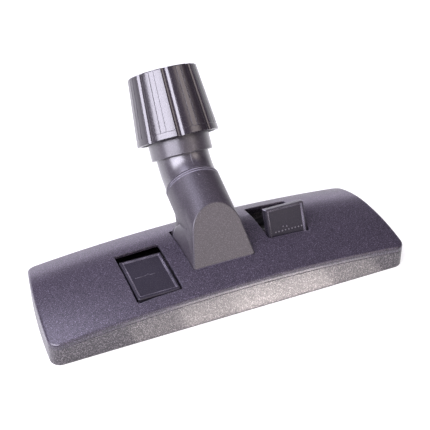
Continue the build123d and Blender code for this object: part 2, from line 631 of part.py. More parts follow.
def swivel_tube():
    """Bent upper tube with a spigot for the swivel, a shoulder and the wand's socket."""
    spigot = Plane(origin=SEAM, x_dir=ACROSS, z_dir=-NECK_DIR)
    tube = bend(TUBE_RADIUS) + extrude(spigot * Circle(NECK_BORE - SPIGOT_FIT), SPIGOT_LENGTH)
    tube += extrude(spigot * Circle(TUBE_RADIUS), -TUBE_LEAD)
    tube += extrude(wand_plane(0) * Circle(TUBE_RADIUS), SHOULDER_END)
    ring = SHOULDER_RADIUS
    tube += turned([(0, SHOULDER_AT), (ring - SHOULDER_EDGE, SHOULDER_AT), (ring, SHOULDER_AT + SHOULDER_EDGE),
                    (ring, SHOULDER_END), (SOCKET_RADIUS, SHOULDER_END), (SOCKET_RADIUS, SOCKET_END),
                    (0, SOCKET_END)])
    tube -= bend(TUBE_BORE)
    tube -= extrude(spigot * Circle(TUBE_BORE), SPIGOT_LENGTH)
    tube -= extrude(spigot * Circle(TUBE_BORE), -TUBE_LEAD)
    tube -= extrude(wand_plane(0) * Circle(TUBE_BORE), SOCKET_FLOOR)
    tube -= extrude(wand_plane(SOCKET_FLOOR) * Circle(SOCKET_BORE), SOCKET_END - SOCKET_FLOOR)
    groove = Plane(origin=SEAM - NECK_DIR * CLIP_DEPTH, x_dir=ACROSS, z_dir=-NECK_DIR)
    ring = Circle(NECK_BORE) - Circle(NECK_BORE - SPIGOT_FIT - CLIP_REACH)
    tube -= extrude(groove * ring, CLIP_THICKNESS)
    return tube


def swivel_clip():
    """Retaining ring in the spigot's groove, under the neck's step."""
    plane = Plane(origin=SEAM - NECK_DIR * (CLIP_DEPTH + SPIGOT_FIT / 2), x_dir=ACROSS, z_dir=-NECK_DIR)
    ring = Circle(NECK_BORE + CLIP_REACH) - Circle(NECK_BORE - SPIGOT_FIT - CLIP_REACH + 0.02)
    return extrude(plane * ring, CLIP_THICKNESS - SPIGOT_FIT)


def wand_seal():
    """Rubber ring on the socket's floor."""
    outer = SOCKET_BORE - COLLET_FIT
    return turned([(TUBE_BORE, SOCKET_FLOOR), (outer, SOCKET_FLOOR), (outer, SOCKET_FLOOR + SEAL_HEIGHT),
                   (TUBE_BORE + 2, SOCKET_FLOOR + SEAL_HEIGHT), (TUBE_BORE, SOCKET_FLOOR + SEAL_HEIGHT / 2)])


def collar_cone():
    """Where the collar's squeezing cone starts."""
    return SOCKET_END + 10


def collet_sleeve():
    """Split sleeve whose fingers are squeezed on to the wand."""
    outer = SOCKET_BORE - COLLET_FIT
    wide = SOCKET_RADIUS - COLLET_FIT
    sleeve = turned([(COLLET_BORE, COLLET_AT), (outer, COLLET_AT), (outer, SOCKET_END + COLLET_FIT),
                     (wide, SOCKET_END + COLLET_FIT), (wide, collar_cone()),
                     (COLLET_BORE + 1.2, COLLET_END), (COLLET_BORE, COLLET_END)])
    start = COLLET_AT + COLLET_SOLID
    cut = Box(COLLET_SLOT_WIDTH, 4 * SOCKET_RADIUS, COLLET_END - start, align=STANDING)
    for k in range(COLLET_SLOTS // 2):
        sleeve -= wand_plane(start).location * Rot(Z=k * 360 / COLLET_SLOTS) * cut
    return sleeve


def clamp_collar():
    """Ribbed clamp nut: wide pads with two fine grooves each, valleys between them, hollow below."""
    end = COLLAR_AT + COLLAR_LENGTH
    sleeve = SOCKET_RADIUS + COLLAR_FIT
    slope = (COLLAR_RADIUS - COLLAR_TOP_RADIUS) / COLLAR_LENGTH
    pocket = SOCKET_END
    skin = COLLAR_RADIUS - COLLAR_WALL
    mouth_edge = COLLAR_MOUTH + 0.4
    low = COLLAR_RADIUS - COLLAR_EDGE
    high = COLLAR_TOP_RADIUS - COLLAR_EDGE
    collar = turned([(skin, COLLAR_AT), (low, COLLAR_AT), (COLLAR_RADIUS, COLLAR_AT + COLLAR_EDGE),
                     (COLLAR_TOP_RADIUS, end - COLLAR_EDGE), (high, end), (mouth_edge, end),
                     (COLLAR_MOUTH, end - 1), (COLLAR_MOUTH + 0.6, COLLET_END), (sleeve, collar_cone()),
                     (sleeve, SHOULDER_END + COLLAR_FIT), (sleeve + 2, SHOULDER_END + COLLAR_FIT),
                     (sleeve + 2, pocket), (skin - slope * (pocket - COLLAR_AT), pocket)])
    band = COLLAR_AT + GROOVE_STOP
    inside = COLLAR_RADIUS - GROOVE_STOP * slope - BAND_DEPTH
    collar -= turned([(inside, band), (COLLAR_RADIUS, band), (COLLAR_RADIUS, band + BAND_LINE),
                      (inside, band + BAND_LINE)])
    lean = degrees(atan2(COLLAR_RADIUS - COLLAR_TOP_RADIUS, COLLAR_LENGTH))
    base = wand_plane(COLLAR_AT).location
    pitch = 360 / COLLAR_PADS
    valley = Cylinder(VALLEY_RADIUS, 2 * COLLAR_LENGTH, align=STANDING)
    valley = Rot(Y=-lean) * Pos(0, 0, -GROOVE_STOP) * valley
    valley = Pos(COLLAR_RADIUS - VALLEY_DEPTH + VALLEY_RADIUS, 0, 0) * valley
    groove = Box(2 * GROOVE_DEPTH, GROOVE_WIDTH, 2 * COLLAR_LENGTH, align=STANDING)
    groove = Pos(COLLAR_RADIUS - GROOVE_STOP * slope, 0, GROOVE_STOP) * Rot(Y=-lean) * groove
    for k in range(COLLAR_PADS):
        turn = -90 + VALLEY_TURN + k * pitch
        collar -= base * Rot(Z=turn) * valley
        for way in SIDES:
            collar -= base * Rot(Z=turn + pitch / 2 + way * GROOVE_SPREAD) * groove
    return collar


def tread_body():
    """Framed tread with skirts on sides and back and two ears, lying flat over its pin."""
    half = PEDAL_WIDTH / 2
    top = TREAD_RADIUS
    tread = block(-half, half, -TREAD_FRONT, TREAD_BACK, top - SKIRT_DEPTH, top)
    tread = fillet(tread.edges().filter_by(Axis.Z).group_by(Axis.Y)[0], TREAD_CORNER)
    tread = fillet(tread.edges().group_by(Axis.Z)[-1], TREAD_ROUND)
    y0 = -TREAD_FRONT + TREAD_LIP
    y1 = TREAD_BACK - TREAD_BEAD
    panel = Pos(0, (y0 + y1) / 2, top - TREAD_RECESS) * Rectangle(PEDAL_WIDTH - 2 * TREAD_RIM, y1 - y0)
    tread -= extrude(panel, TREAD_RECESS, taper=-TREAD_BEVEL)
    inner = half - SKIRT_WALL
    tread -= block(-inner, inner, -TREAD_FRONT - 1, TREAD_BACK - SKIRT_WALL, 0, top - TREAD_THICKNESS)
    low = top - SKIRT_DEPTH - 1
    wedge = Polyline((-TREAD_FRONT - 1, top - TREAD_THICKNESS), (SKIRT_START, top - TREAD_THICKNESS),
                     (SKIRT_START + SKIRT_DEPTH, low), (-TREAD_FRONT - 1, low), close=True)
    tread -= extrude(Plane.YZ * make_face(wedge), half + 1, both=True)
    under = top - TREAD_THICKNESS / 2
    for way in SIDES:
        x0, x1 = sorted((way * EAR_AT, way * (EAR_AT + EAR_WALL)))
        ear = Polyline((-EAR_BOSS, 0), (EAR_BOSS, 0), (EAR_BOSS * 3, under), (-EAR_BOSS, under), close=True)
        tread += Pos((x0 + x1) / 2, 0, 0) * extrude(Plane.YZ * make_face(ear), EAR_WALL / 2, both=True)
        tread += rod_x(EAR_BOSS, x0, x1, 0, 0)
    return tread


def pedal_part(pedal):
    """One pedal at rest, with the crank stud that works the brush carrier."""
    y, z = pedal.crank_y - pedal.pin_y, pedal.crank_z - pedal.pin_z
    inner = pedal.side * EAR_AT
    outer = pedal.side * (EAR_AT + EAR_WALL)
    body = tread_body().rotate(Axis.X, pedal.tilt)
    body += rod_x(CRANK_RADIUS + 1, inner, outer, y, z)
    body += rod_x(CRANK_RADIUS, inner, pedal.side * (FORK_AT + FORK_WALL), y, z)
    body -= rod_x(PIN_RADIUS + PIN_FIT, -PEDAL_WIDTH, PEDAL_WIDTH, 0, 0)
    return Pos(pedal.x, pedal.pin_y, pedal.pin_z) * body


def pedal_pin(pedal):
    """Steel pin through lugs and ears."""
    x0, x1 = pedal.across(-LUG_IN - LUG_WALL, LUG_OUT + LUG_WALL)
    return rod_x(PIN_RADIUS, x0, x1, pedal.pin_y, pedal.pin_z)


def fork(pedal):
    """Upright plate of the brush carrier with a slot for a pedal's crank stud."""
    x0, x1 = pedal.across(FORK_AT, FORK_AT + FORK_WALL)
    play = CRANK_RADIUS + FORK_FIT
    near = pedal.crank_y - pedal.crank_way * play
    far = pedal.pin_y + pedal.crank_way * (CRANK_REACH + play)
    y0, y1 = sorted((near - pedal.crank_way * FORK_INNER, far + pedal.crank_way * FORK_MARGIN))
    top = BRIDGE_BOTTOM + BRIDGE_HEIGHT
    grip = play + FORK_MARGIN
    plate = block(x0, x1, y0, y1, pedal.crank_z - grip, max(top, pedal.crank_z + grip))
    a0, a1 = sorted((pedal.x + pedal.side * FORK_AT, pedal.side * BRIDGE_X))
    clear = pedal.pin_y + pedal.crank_way * (LUG_HALF + LUG_GAP)
    b0, b1 = sorted((clear, far + pedal.crank_way * FORK_MARGIN))
    bridge = block(a0, a1, b0, b1, BRIDGE_BOTTOM, top)
    s0, s1 = sorted((near, far))
    slot = block(x0 - LUG_GAP, x1 + LUG_GAP, s0, s1, pedal.crank_z - play, pedal.crank_z + play)
    return plate, bridge, slot


def brush_carrier():
    """Frame with two brush bars, two bridges on guide posts and a fork for each pedal."""
    frame = Part()
    half = BAR_WIDTH / 2
    for y in BARS:
        frame += block(-BAR_HALF, BAR_HALF, y - half, y + half, BAR_BOTTOM, BAR_BOTTOM + BAR_HEIGHT)
    top = BRIDGE_BOTTOM + BRIDGE_HEIGHT
    leg = half - 0.6
    for side in SIDES:
        x0 = side * BRIDGE_X - BRIDGE_WIDTH / 2
        x1 = side * BRIDGE_X + BRIDGE_WIDTH / 2
        frame += block(x0, x1, BARS[0] - leg, BARS[1] + leg, BRIDGE_BOTTOM, top)
        for y in BARS:
            frame += block(x0, x1, y - leg, y + leg, BAR_BOTTOM, top)
    for pedal in (LEFT, RIGHT):
        plate, arm, slot = fork(pedal)
        frame += plate
        frame += arm
        frame -= slot
    for side in SIDES:
        for y in (-POST_Y, POST_Y):
            frame -= post(POST_RADIUS + POST_FIT, side * BRIDGE_X, y, 0, TALL)
    groove = BRISTLE_WIDTH / 2
    for y in BARS:
        frame -= block(-BAR_HALF, BAR_HALF, y - groove, y + groove, 0, BAR_BOTTOM + BRISTLE_GROOVE)
    return frame


def bristle_strip(y):
    """Row of bristle tufts on a backing strip."""
    half = BRISTLE_WIDTH / 2
    top = BAR_BOTTOM + BRISTLE_GROOVE
    strip = block(-BAR_HALF, BAR_HALF, y - half, y + half, top - BRISTLE_BACKING, top)
    count = int(2 * BAR_HALF / TUFT_PITCH)
    tufts = GridLocations(TUFT_PITCH, 1, count, 1) * Rectangle(TUFT_LENGTH, BRISTLE_WIDTH - 0.4)
    rows = Pos(0, y, BRISTLE_TIP) * Sketch(children=list(tufts))
    return strip + extrude(rows, top - BRISTLE_BACKING - BRISTLE_TIP)


NODES = {
    "top_cover": top_cover,
    "base_body": base_body,
    "sole_plate": sole_plate,
    "lint_strip_front": lambda: lint_strip(LINT_FRONT_Y),
    "lint_strip_rear": lambda: lint_strip(LINT_BACK_Y),
    "bearing_cap_left": lambda: bearing_cap(-1),
    "bearing_cap_right": lambda: bearing_cap(1),
    "bearing_screws": bearing_screws,
    "cover_screws": cover_screws,
    "neck_elbow": neck_elbow,
    "swivel_tube": swivel_tube,
    "swivel_clip": swivel_clip,
    "wand_seal": wand_seal,
    "collet_sleeve": collet_sleeve,
    "clamp_collar": clamp_collar,
    "pedal_left": lambda: pedal_part(LEFT),
    "pedal_right": lambda: pedal_part(RIGHT),
    "pedal_pin_left": lambda: pedal_pin(LEFT),
    "pedal_pin_right": lambda: pedal_pin(RIGHT),
    "brush_carrier": brush_carrier,
    "bristle_strip_front": lambda: bristle_strip(BARS[0]),
    "bristle_strip_rear": lambda: bristle_strip(BARS[1]),
}

if __name__ == "__main__":
    os.makedirs("parts", exist_ok=True)
    for name, make in NODES.items():
        export_step(make(), f"parts/{name}.step")
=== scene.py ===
"""Looks of the vacuum floor brush head.

Moulded plastics, a steel sole, bristle rows and the pedals' signs, in the light of the photo.
Lengths are in metres.
"""
import json
import math
import random

import bmesh
import bpy
from mathutils import Matrix, Vector


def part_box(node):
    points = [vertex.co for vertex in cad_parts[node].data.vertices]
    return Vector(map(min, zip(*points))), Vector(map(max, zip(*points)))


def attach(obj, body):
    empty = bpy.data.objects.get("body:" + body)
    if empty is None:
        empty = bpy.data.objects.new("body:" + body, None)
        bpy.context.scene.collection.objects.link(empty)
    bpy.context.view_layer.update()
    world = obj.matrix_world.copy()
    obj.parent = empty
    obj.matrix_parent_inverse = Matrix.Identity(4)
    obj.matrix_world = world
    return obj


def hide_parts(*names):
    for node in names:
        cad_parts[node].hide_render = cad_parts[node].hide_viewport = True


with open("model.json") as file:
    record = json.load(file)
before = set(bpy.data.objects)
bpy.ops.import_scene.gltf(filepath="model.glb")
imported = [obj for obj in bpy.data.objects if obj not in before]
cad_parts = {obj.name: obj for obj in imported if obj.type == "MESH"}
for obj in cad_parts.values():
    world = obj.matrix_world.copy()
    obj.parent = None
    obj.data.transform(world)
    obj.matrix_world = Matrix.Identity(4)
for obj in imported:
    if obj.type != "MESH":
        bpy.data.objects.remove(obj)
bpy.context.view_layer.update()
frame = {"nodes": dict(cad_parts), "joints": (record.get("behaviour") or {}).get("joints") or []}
nodes = frame["nodes"]
scene = bpy.context.scene
scene.view_settings.view_transform = "Standard"

# Places and directions from the joints of the frame.
joints = {joint["name"]: joint for joint in frame["joints"]}
LEFT_PIN = Vector(joints["pedal_left_turn"]["pos_m"])
RIGHT_PIN = Vector(joints["pedal_right_turn"]["pos_m"])
PIVOT = Vector(joints["neck_tilt"]["pos_m"])
SWIVEL = Vector(joints["neck_swivel"]["pos_m"])              # on the tube's axis, at the seam
NECK_ALONG = Vector(joints["neck_swivel"]["axis"])
NECK_ABOVE = Vector((0, -NECK_ALONG.z, NECK_ALONG.y))
NECK_LEAN = NECK_ALONG.angle(Vector((0, 0, 1)))              # radians, as is BEND_TURN
BEND_TURN = NECK_ALONG.angle(Vector(joints["collar_turn"]["axis"]))
# Where the tube's axis comes nearest to the pivot.
NECK_START = SWIVEL - NECK_ALONG * NECK_ALONG.dot(SWIVEL - PIVOT)

# Sizes shared with the solids.
NECK_RADIUS = 0.0214
TUBE_RADIUS = 0.0204
TUBE_LEAD = 0.0023            # straight length of the upper tube before its bend
BEND_RADIUS = 0.04
LEFT_TILT = 4.3               # of the treads at rest, in degrees
RIGHT_TILT = 67.3
PANEL = 0.0149                # from a pedal's pin to its recessed panel

# Grain, wear and painted edge highlights of the moulded plastics. Scales are noise cells to a
# metre.
CORNER_RADIUS = 0.0004
CORNER_SAMPLES = 8
BENT_RANGE = (0.01, 0.16)     # turn of a corner's normal that takes the paler edge colour, part wear and part painted highlight
PATCH_SCALE = 60.0
PATCH_RANGE = (0.25, 0.6)
FINE_SCALE = 3200.0
FINE_HEIGHT = 0.0001
FINE_GLOSS = 0.2              # how far the grain changes the roughness
SPECK_SCALE = 1800.0
SPECK_RANGE = (0.5, 0.76)
CLOUD_SCALE = 30.0
CLOUD_RANGE = (0.3, 0.7)
CLOUD_TONES = (0.88, 1.08)
SKIN_IOR = 1.7

# Lines of the brushed steel and fibres of the pile.
LINE_SCALE = 2400.0
LINE_STRETCH = 0.02
LINE_TONE = 0.72
LINE_GLOSS = 0.2
LINE_HEIGHT = 0.00005
LINE_STRENGTH = 0.15
FIBRE_RANGE = (0.3, 0.7)
FIBRE_HEIGHT = 0.0003
FIBRE_STRENGTH = 0.6
FIBRE_SHEEN = 0.3

# Bristle rows.
BACKING = 0.0018              # height of the strip that holds the tufts
CORE = 0.0007                 # thickness of the close hair in the middle of a row
CORE_SHORT = 0.001            # how much shorter it is than the bristles
TUFT_PITCH = 0.003
TUFT_RADIUS = 0.0012
TUFT_BRISTLES = 20
TUFT_SPLAY = (1.35, 1.65)
ROOT_SINK = 0.0002
ROOT_RADIUS = 0.0001
TIP_RADIUS = 0.00016
TIP_UNEVEN = 0.0004
ROW_SEED = 7

# Signs on the pedals: x across the panel and s along it, from above the pin.
SIGN_DOME = 0.5
DOT_RADIUS = 0.0006
DOT_PITCH = 0.00273
DOT_COUNT = 9
DOT_SHIFT = 0.0012
DOT_ROW = 0.0119
UPPER_DOTS = [(-0.00305, 0.0151), (-0.0001, 0.0145)]
SIGN_LINE_RADIUS = 0.0003
CARPET_LINE = [(-0.0104, 0.0115), (-0.0032, 0.0115), (-0.0008, 0.0127), (0.0012, 0.0115),
               (0.0045, 0.0115)]

# Cheeks of the neck's foot, between the drum's ends and the tube.
DRUM_END = 0.02465
DRUM_SHOULDER = 0.0224
DRUM_RADIUS = 0.0294
DRUM_END_RADIUS = 0.0204
DRUM_ARC = range(52, 141, 8)  # degrees round the pivot
CHEEK_FOOT = ((-0.0195, 0.0312), (-0.008, 0.0295), (0.008, 0.0295), (0.0215, 0.0312))
CHEEK_FRONT = ((0.0232, -0.0209, 0.0312), (0.0181, -0.0075, 0.0537))
# Along the tube from its start, and degrees up its side.
CHEEK_TUBE = ((-0.002, 0), (0.008, 0), (0.008, 25), (0.017, 0), (0.017, 25))
CHEEK_ROUND = 0.0006

# Marks of the moulding on the neck.
MOULD_LINE_HALF = (0.0005, 0.00025, 0.00025)
MOULD_LINE_SIDES = 8
GATE_BACK = 0.0072            # from the seam down the tube
GATE_RADIUS = 0.0009
GATE_DOME = 0.4

# Studio.
FLOOR_HALF = 6.0
FLOOR_GREY = 0.5
FLOOR_GLOW = 0.72
SKY_LOW = (0.1, (0.35, 0.32, 0.4, 1))
SKY_HIGH = (0.9, (0.3, 0.28, 0.38, 1))
SKY_BETWEEN = ((0.3, 0.03), (0.58, 0.03), (0.74, 0.12))
SKY_TINT = (1, 0.92, 1.2)
NECK_MIDDLE = (0, 0.085, 0.11)
HEAD_FRONT = (0, -0.02, 0.05)
CARD_POWERS = ((-0.06, 0.004), (-0.02, 0.011), (0.02, 0.016), (0.06, 0.014), (0.1, 0.005))

# Camera fitted to the photo's outline.
CAMERA_PLACE = (-0.22802, -0.55173, 0.48741)
CAMERA_RIGHT = (0.9197, -0.3925, -0.0124)
CAMERA_UP = (0.2383, 0.5327, 0.8121)
CAMERA_BACK = (-0.3121, -0.7498, 0.5834)
CAMERA_LENS = 83.82
CAMERA_SENSOR = 36.0


def new_group(name, outputs, inputs):
    """Empty shader group with the sockets it names."""
    group = bpy.data.node_groups.new(name, "ShaderNodeTree")
    for label, kind, default in inputs:
        socket = group.interface.new_socket(label, in_out="INPUT", socket_type=kind)
        socket.default_value = default
    for label, kind in outputs:
        group.interface.new_socket(label, in_out="OUTPUT", socket_type=kind)
    return group, group.nodes.new("NodeGroupInput"), group.nodes.new("NodeGroupOutput")


def new_material(name):
    """Material with its node tree and its Principled shader."""
    material = bpy.data.materials.new(name)
    material.use_nodes = True
    tree = material.node_tree
    return material, tree, tree.nodes["Principled BSDF"]


def feed(tree, socket, value):
    """Sets a socket to a number or colour, or links it to another socket."""
    if isinstance(value, (int, float, tuple)):
        socket.default_value = value
    else:
        tree.links.new(value, socket)


def math_node(tree, operation, a, b):
    """Math node whose inputs are sockets or numbers."""
    node = tree.nodes.new("ShaderNodeMath")
    node.operation = operation
    feed(tree, node.inputs[0], a)
    feed(tree, node.inputs[1], b)
    return node.outputs[0]


def object_coords(tree):
    """Object coordinates, which every pattern here reads."""
    return tree.nodes.new("ShaderNodeTexCoord").outputs["Object"]


def noise(tree, coords, scale, detail, rough=0.5):
    """Noise texture on given coordinates."""
    node = tree.nodes.new("ShaderNodeTexNoise")
    node.inputs["Scale"].default_value = scale
    node.inputs["Detail"].default_value = detail
    node.inputs["Roughness"].default_value = rough
    tree.links.new(coords, node.inputs["Vector"])
    return node.outputs["Fac"]


def ramp(tree, value, low, high):
    """Value stretched from low..high to 0..1 and clamped."""
    node = tree.nodes.new("ShaderNodeMapRange")
    node.inputs["From Min"].default_value = low
    node.inputs["From Max"].default_value = high
    tree.links.new(value, node.inputs["Value"])
    return node.outputs["Result"]


def mix_colour(tree, factor, a, b, blend="MIX"):
    """Mix of two colours, each a socket or a colour with alpha."""
    node = tree.nodes.new("ShaderNodeMix")
    node.data_type = "RGBA"
    node.blend_type = blend
    feed(tree, node.inputs["Factor"], factor)
    first, second = [socket for socket in node.inputs if socket.type == "RGBA"]
    feed(tree, first, a)
    feed(tree, second, b)
    return [socket for socket in node.outputs if socket.type == "RGBA"][0]


def bump(tree, height, strength, distance, normal=None):
    """Normal bumped by a height, over another normal where one is given."""
    node = tree.nodes.new("ShaderNodeBump")
    node.inputs["Distance"].default_value = distance
    feed(tree, node.inputs["Strength"], strength)
    tree.links.new(height, node.inputs["Height"])
    if normal is not None:
        tree.links.new(normal, node.inputs["Normal"])
    return node.outputs["Normal"]


def grey(tone):
    """Colour of one tone."""
    return (tone, tone, tone, 1)


def edge_wear_and_highlight_group():
    """Softened corner normals and a mask of the edges that are painted paler: partly rubbed bright
    by hands and floors, partly a painted highlight along the rims.
    """
    group, inp, out = new_group(
        "worn_and_highlit_edge", [("Mask", "NodeSocketFloat"), ("Normal", "NodeSocketVector")],
        [("Radius", "NodeSocketFloat", CORNER_RADIUS)])
    corner = group.nodes.new("ShaderNodeBevel")
    corner.samples = CORNER_SAMPLES
    group.links.new(inp.outputs["Radius"], corner.inputs["Radius"])
    plain = group.nodes.new("ShaderNodeNewGeometry").outputs["Normal"]
    dot = group.nodes.new("ShaderNodeVectorMath")
    dot.operation = "DOT_PRODUCT"
    group.links.new(corner.outputs["Normal"], dot.inputs[0])
    group.links.new(plain, dot.inputs[1])
    bent = ramp(group, math_node(group, "SUBTRACT", 1.0, dot.outputs["Value"]), *BENT_RANGE)
    patchy = ramp(group, noise(group, object_coords(group), PATCH_SCALE, 3.0), *PATCH_RANGE)
    group.links.new(math_node(group, "MULTIPLY", bent, patchy), out.inputs["Mask"])
    group.links.new(corner.outputs["Normal"], out.inputs["Normal"])
    return group


def grain_group():
    """Spark-eroded moulded plastic: fine grain, pearl specks, faint cloudiness, and paler edges
    that are partly wear and partly a painted highlight.
    """
    group, inp, out = new_group(
        "moulded_grain",
        [("Color", "NodeSocketColor"), ("Roughness", "NodeSocketFloat"),
         ("Normal", "NodeSocketVector")],
        [("Base", "NodeSocketColor", grey(0.1)), ("Speck", "NodeSocketColor", grey(0.4)),
         ("Edge Wear And Highlight", "NodeSocketColor", grey(0.3)), ("Roughness", "NodeSocketFloat", 0.4),
         ("Grain", "NodeSocketFloat", 0.1), ("Radius", "NodeSocketFloat", CORNER_RADIUS)])
    edge_wear_and_highlight = group.nodes.new("ShaderNodeGroup")
    edge_wear_and_highlight.node_tree = edge_wear_and_highlight_group()
    group.links.new(inp.outputs["Radius"], edge_wear_and_highlight.inputs["Radius"])
    coords = object_coords(group)
    fine = noise(group, coords, FINE_SCALE, 1.0)
    specks = ramp(group, noise(group, coords, SPECK_SCALE, 1.0), *SPECK_RANGE)
    cloud = ramp(group, noise(group, coords, CLOUD_SCALE, 3.0), *CLOUD_RANGE)
    shade = mix_colour(group, cloud, *(grey(tone) for tone in CLOUD_TONES))
    clouded = mix_colour(group, 1.0, inp.outputs["Base"], shade, "MULTIPLY")
    speckled = mix_colour(group, specks, clouded, inp.outputs["Speck"])
    # Paler corners: partly wear, partly a painted highlight along the rims and edges.
    worn_and_highlit = mix_colour(group, edge_wear_and_highlight.outputs["Mask"], speckled, inp.outputs["Edge Wear And Highlight"])
    group.links.new(worn_and_highlit, out.inputs["Color"])
    uneven = math_node(group, "MULTIPLY", math_node(group, "SUBTRACT", fine, 0.5), FINE_GLOSS)
    rough = math_node(group, "ADD", inp.outputs["Roughness"], uneven)
    group.links.new(rough, out.inputs["Roughness"])
    grained = bump(group, fine, inp.outputs["Grain"], FINE_HEIGHT, edge_wear_and_highlight.outputs["Normal"])
    group.links.new(grained, out.inputs["Normal"])
    return group


GRAIN = grain_group()


def plastic(name, base, speck, edge_wear_and_highlight, roughness, grain, specular=0.5, coat=0.0, skin=0.26,
            radius=CORNER_RADIUS):
    """Moulded plastic from the shared grain group.

    coat is the weight of the clear skin of a polished piece, skin is that skin's roughness, and
    radius is the width of its corners, painted paler as wear and as a highlight.
    """
    material, tree, shader = new_material(name)
    shader.inputs["Specular IOR Level"].default_value = specular
    shader.inputs["Coat Weight"].default_value = coat
    shader.inputs["Coat Roughness"].default_value = skin
    shader.inputs["Coat IOR"].default_value = SKIN_IOR
    node = tree.nodes.new("ShaderNodeGroup")
    node.node_tree = GRAIN
    for label, colour in (("Base", base), ("Speck", speck), ("Edge Wear And Highlight", edge_wear_and_highlight)):
        node.inputs[label].default_value = (*colour, 1)
    for label, value in (("Roughness", roughness), ("Grain", grain), ("Radius", radius)):
        node.inputs[label].default_value = value
    tree.links.new(node.outputs["Color"], shader.inputs["Base Color"])
    tree.links.new(node.outputs["Roughness"], shader.inputs["Roughness"])
    tree.links.new(node.outputs["Normal"], shader.inputs["Normal"])
    return material


def brushed_metal(name, base, along, roughness):
    """Metal with fine lines along one axis."""
    material, tree, shader = new_material(name)
    shader.inputs["Metallic"].default_value = 1.0
    stretch = tree.nodes.new("ShaderNodeMapping")
    stretch.inputs["Scale"].default_value = [LINE_STRETCH if i == along else 1.0 for i in range(3)]
    tree.links.new(object_coords(tree), stretch.inputs["Vector"])
    lines = noise(tree, stretch.outputs["Vector"], LINE_SCALE, 2.0)
    dark = tuple(part * LINE_TONE for part in base)
    tone = mix_colour(tree, lines, (*dark, 1), (*base, 1))
    tree.links.new(tone, shader.inputs["Base Color"])
    uneven = math_node(tree, "MULTIPLY", lines, LINE_GLOSS)
    rough = math_node(tree, "ADD", roughness - LINE_GLOSS / 2, uneven)
    tree.links.new(rough, shader.inputs["Roughness"])
    tree.links.new(bump(tree, lines, LINE_STRENGTH, LINE_HEIGHT), shader.inputs["Normal"])
    return material


def pile(name, low, high, scale, roughness):
    """Short fibres: speckled colour and a rough surface."""
    material, tree, shader = new_material(name)
    shader.inputs["Roughness"].default_value = roughness
    shader.inputs["Sheen Weight"].default_value = FIBRE_SHEEN
    fibres = noise(tree, object_coords(tree), scale, 3.0, 0.7)
    tone = mix_colour(tree, ramp(tree, fibres, *FIBRE_RANGE), (*low, 1), (*high, 1))
    tree.links.new(tone, shader.inputs["Base Color"])
    tree.links.new(bump(tree, fibres, FIBRE_STRENGTH, FIBRE_HEIGHT), shader.inputs["Normal"])
    return material


# Each plastic's edge colour is partly wear and partly a painted highlight on its corners.
SHELL = plastic("shell_plastic", base=(0.019, 0.0145, 0.0235), speck=(0.2, 0.172, 0.23),
                edge_wear_and_highlight=(0.4, 0.37, 0.45), roughness=0.38, grain=0.16, specular=0.6, coat=0.4)
BODY = plastic("body_plastic", base=(0.02, 0.0165, 0.0205), speck=(0.38, 0.345, 0.36),
               edge_wear_and_highlight=(0.4, 0.37, 0.42), roughness=0.46, grain=0.34, coat=0.3)
NECK = plastic("neck_plastic", base=(0.03, 0.0245, 0.032), speck=(0.12, 0.105, 0.125),
               edge_wear_and_highlight=(0.45, 0.43, 0.52), roughness=0.46, grain=0.14, specular=0.6, coat=0.35,
               skin=0.33, radius=0.0006)
TUBE = plastic("tube_plastic", base=(0.027, 0.022, 0.029), speck=(0.14, 0.122, 0.148),
               edge_wear_and_highlight=(0.36, 0.34, 0.4), roughness=0.4, grain=0.12, specular=0.7, coat=1.0, skin=0.28)
COLLAR = plastic("collar_plastic", base=(0.024, 0.019, 0.025), speck=(0.045, 0.038, 0.045),
                 edge_wear_and_highlight=(0.3, 0.28, 0.33), roughness=0.24, grain=0.06, coat=0.55, skin=0.18,
                 radius=0.00015)
# The pedals' wide pale rims are mostly a painted highlight where the treads' edges catch the light.
PEDAL = plastic("pedal_plastic", base=(0.028, 0.025, 0.034), speck=(0.045, 0.04, 0.05),
                edge_wear_and_highlight=(0.6, 0.56, 0.66), roughness=0.24, grain=0.08, specular=0.4, radius=0.0012)
# The carpet sign is the tread's plastic, made paler here as a painted highlight on its raised line.
SIGN_PAINTED_HIGHLIGHT = plastic("sign_relief_painted_highlight", base=(0.06, 0.055, 0.07), speck=(0.08, 0.075, 0.09),
               edge_wear_and_highlight=(0.14, 0.13, 0.15), roughness=0.3, grain=0.05)
# The brush sign's dots are paler still: a painted highlight for the light their domes catch.
DOTS_PAINTED_HIGHLIGHT = plastic("pictogram_relief_painted_highlight", base=(0.17, 0.16, 0.18), speck=(0.2, 0.19, 0.21),
               edge_wear_and_highlight=(0.26, 0.25, 0.27), roughness=0.4, grain=0.05)
INNER = plastic("inner_plastic", base=(0.012, 0.012, 0.013), speck=(0.02, 0.02, 0.02),
                edge_wear_and_highlight=(0.04, 0.04, 0.04), roughness=0.6, grain=0.2, specular=0.3)
RUBBER = plastic("seal_rubber", base=(0.012, 0.012, 0.012), speck=(0.03, 0.03, 0.03),
                 edge_wear_and_highlight=(0.04, 0.04, 0.04), roughness=0.75, grain=0.3, specular=0.3)
STEEL = brushed_metal("sole_steel", base=(0.55, 0.55, 0.56), along=0, roughness=0.34)
ZINC = brushed_metal("fastener_steel", base=(0.5, 0.5, 0.48), along=2, roughness=0.4)
PIN = brushed_metal("pin_steel", base=(0.06, 0.06, 0.065), along=0, roughness=0.4)
LINT = pile("lint_pile", low=(0.16, 0.012, 0.012), high=(0.34, 0.04, 0.035), scale=900.0,
            roughness=0.9)
HAIR = pile("bristle_hair", low=(0.012, 0.012, 0.014), high=(0.05, 0.05, 0.055), scale=1500.0,
            roughness=0.55)

